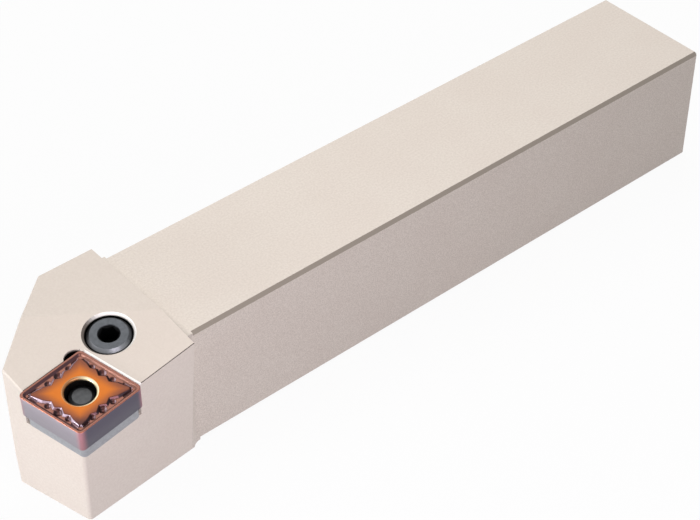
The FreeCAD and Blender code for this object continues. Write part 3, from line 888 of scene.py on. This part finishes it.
def carbide():
    graph = Graph("coated_carbide")
    raised = graph.attribute("raised")
    grain = graph.noise(3000, 3.0, 0.6)
    x, y, z = graph.split(graph.normal())
    ahead = seat_place(graph)[0]
    lean_x, lean_y = x - seat_up.x, y - seat_up.y
    # painted light and shade by the lean of the surface
    painted_light = PAINTED_LIGHT_LEVEL + lean_x * PAINTED_LIGHT_ALONG - lean_y * PAINTED_LIGHT_ACROSS
    middle = graph.mix(graph.attribute("inward").ramp(1.5, 3.7), COPPER_RING, COPPER)
    middle = graph.mix(1 - past(ahead, 1.8, 3.8), middle, COPPER_TIP)
    top = graph.mix(raised.ramp(0.80, 0.99), breaker_colour(graph, painted_light), middle)
    # painted highlight on the hole's rim where it faces the light, painted shade elsewhere
    top = graph.mix(raised.ramp(1.0, 1.6), top, graph.mix(painted_light.ramp(0.25, 0.62), *RIM_PAINTED_SHADE_AND_HIGHLIGHT))
    # painted shade inside the hole
    top = graph.mix(raised.ramp(2.2, 2.9), top, PAINTED_BORE_SHADE)
    outer = graph.attribute("outer")
    # copper edge with painted highlight where it leans to the front and painted shade where it
    # leans away
    edge = graph.mix((lean_x + lean_y).ramp(-0.1, 0.3), *EDGE_COPPER_AND_PAINTED_LIGHT)
    top = graph.mix(outer.ramp(0.3, 0.6), top, edge)
    # flank painted lighter or darker by the way it faces
    flank = graph.mix(y.ramp(0.3, 0.8), *FLANK_GREY_AND_PAINTED_SHADE)
    flank = graph.mix(graph.attribute("corner") * 0.8, flank, FLANK_CORNER)
    on_flank = (1 - z.absolute().ramp(0.45, 0.6)) * outer
    return graph.finish(
        Base_Color=graph.mix(on_flank, top, flank),
        Metallic=COATED_METAL - on_flank * (COATED_METAL - FLANK_METAL),
        Roughness=COATED_ROUGHNESS + (grain - 0.5) * 0.12 + on_flank * 0.2,
        Normal=graph.bump(grain, 0.12, 0.01 * MM),
    )


dress(insert, carbide())

# %% [markdown]
# The world
#
# A plain studio, with a pale world that fills the shadows. The camera, and surfaces like a
# mirror or glass, see a white world instead, so the backdrop is white without more light on the
# object. A white card behind the holder would do too, but it would have to be moved for each
# view.

# %% World
FILL_COLOUR = (1.0, 0.99, 0.98, 1)
FILL_STRENGTH = 0.25


def sees_white(tree):
    """1 for rays from the camera, a mirror or glass, 0 for the light that falls on things."""
    path = tree.nodes.new("ShaderNodeLightPath")
    total = path.outputs["Is Camera Ray"]
    for name in ("Is Glossy Ray", "Is Transmission Ray"):
        either = tree.nodes.new("ShaderNodeMath")
        either.operation = "MAXIMUM"
        tree.links.new(total, either.inputs[0])
        tree.links.new(path.outputs[name], either.inputs[1])
        total = either.outputs[0]
    return total


world = bpy.data.worlds.new("studio")
bpy.context.scene.world = world
world.use_nodes = True
tree = world.node_tree
tree.nodes.clear()
fill = tree.nodes.new("ShaderNodeBackground")
fill.inputs["Color"].default_value = FILL_COLOUR
fill.inputs["Strength"].default_value = FILL_STRENGTH
white = tree.nodes.new("ShaderNodeBackground")
white.inputs["Color"].default_value = (1, 1, 1, 1)
white.inputs["Strength"].default_value = 1.0
mixer = tree.nodes.new("ShaderNodeMixShader")
output = tree.nodes.new("ShaderNodeOutputWorld")
tree.links.new(sees_white(tree), mixer.inputs[0])
tree.links.new(fill.outputs[0], mixer.inputs[1])
tree.links.new(white.outputs[0], mixer.inputs[2])
tree.links.new(mixer.outputs[0], output.inputs["Surface"])
bpy.context.scene.view_settings.view_transform = "Standard"
print("fill light", FILL_STRENGTH)

# %% [markdown]
# Lamps
#
# Three soft lamps, each for the faces that it reaches: one high behind the shank for everything
# that looks up, one low in front for the head's front face, and a small rosy one on the side,
# close enough to fade along the shank. One big lamp would be simpler, but all these faces would
# come out alike.

# %% Lamps
# name, place, target, size in metres, watts, colour
LAMPS = [
    ("front", (0.58, -0.08, 0.03), (0.09, 0, 0.015), 0.15, 2.5, (1.0, 0.99, 1.0)),
    ("sky", (-0.11, -0.24, 0.57), (0.01, 0, 0.02), 0.5, 1.92, (1.0, 0.995, 0.965)),
    ("side", (0.11, 0.18, 0.08), (0.05, 0, 0.012), 0.12, 0.195, (1.0, 0.92, 1.0)),
]

for name, place, target, size, watts, colour in LAMPS:
    lamp = bpy.data.lights.new(name, "AREA")
    lamp.shape = "SQUARE"
    lamp.size = size
    lamp.energy = watts
    lamp.color = colour
    aim(link(name, lamp), place, Vector(target) - Vector(place))
    print("lamp", name, watts, "W")

# %% [markdown]
# Floor
#
# The holder lies on a white sweep. The floor glows white for the camera and for mirrors, and
# keeps a small share of its own shading, in which the holder's shadow shows. A shadow catcher
# is the other way, but it works only with a see-through backdrop. The floor lies a hair below
# the holder, so that the two faces don't fight for the same place.

# %% Floor
FLOOR_DROP = 0.02 * MM
FLOOR_HALF = 2.0
FLOOR_TONE = (0.30, 0.30, 0.31)
FLOOR_GLOW = 1.11
FLOOR_WHITE_SHARE = 0.85

floor_mesh = bmesh.new()
bmesh.ops.create_grid(floor_mesh, x_segments=1, y_segments=1, size=FLOOR_HALF)
bmesh.ops.translate(floor_mesh, verts=floor_mesh.verts, vec=(0, 0, -FLOOR_DROP))
floor_data = bpy.data.meshes.new("floor")
floor_mesh.to_mesh(floor_data)
floor_mesh.free()
floor = link("floor", floor_data)

floor_graph = Graph("floor")
floor_graph.finish(Base_Color=FLOOR_TONE, Roughness=0.9)
shine = floor_graph.node(
    "ShaderNodeEmission", {}, {"Color": (1, 1, 1, 1), "Strength": FLOOR_GLOW},
)
floor_white = Value(floor_graph, sees_white(floor_graph.tree)) * FLOOR_WHITE_SHARE
blend = floor_graph.node(
    "ShaderNodeMixShader", {}, {0: floor_white, 1: floor_graph.shader.outputs[0], 2: shine},
)
surface = floor_graph.tree.nodes["Material Output"].inputs["Surface"]
floor_graph.connect(blend, surface)
dress(floor, floor_graph.material)
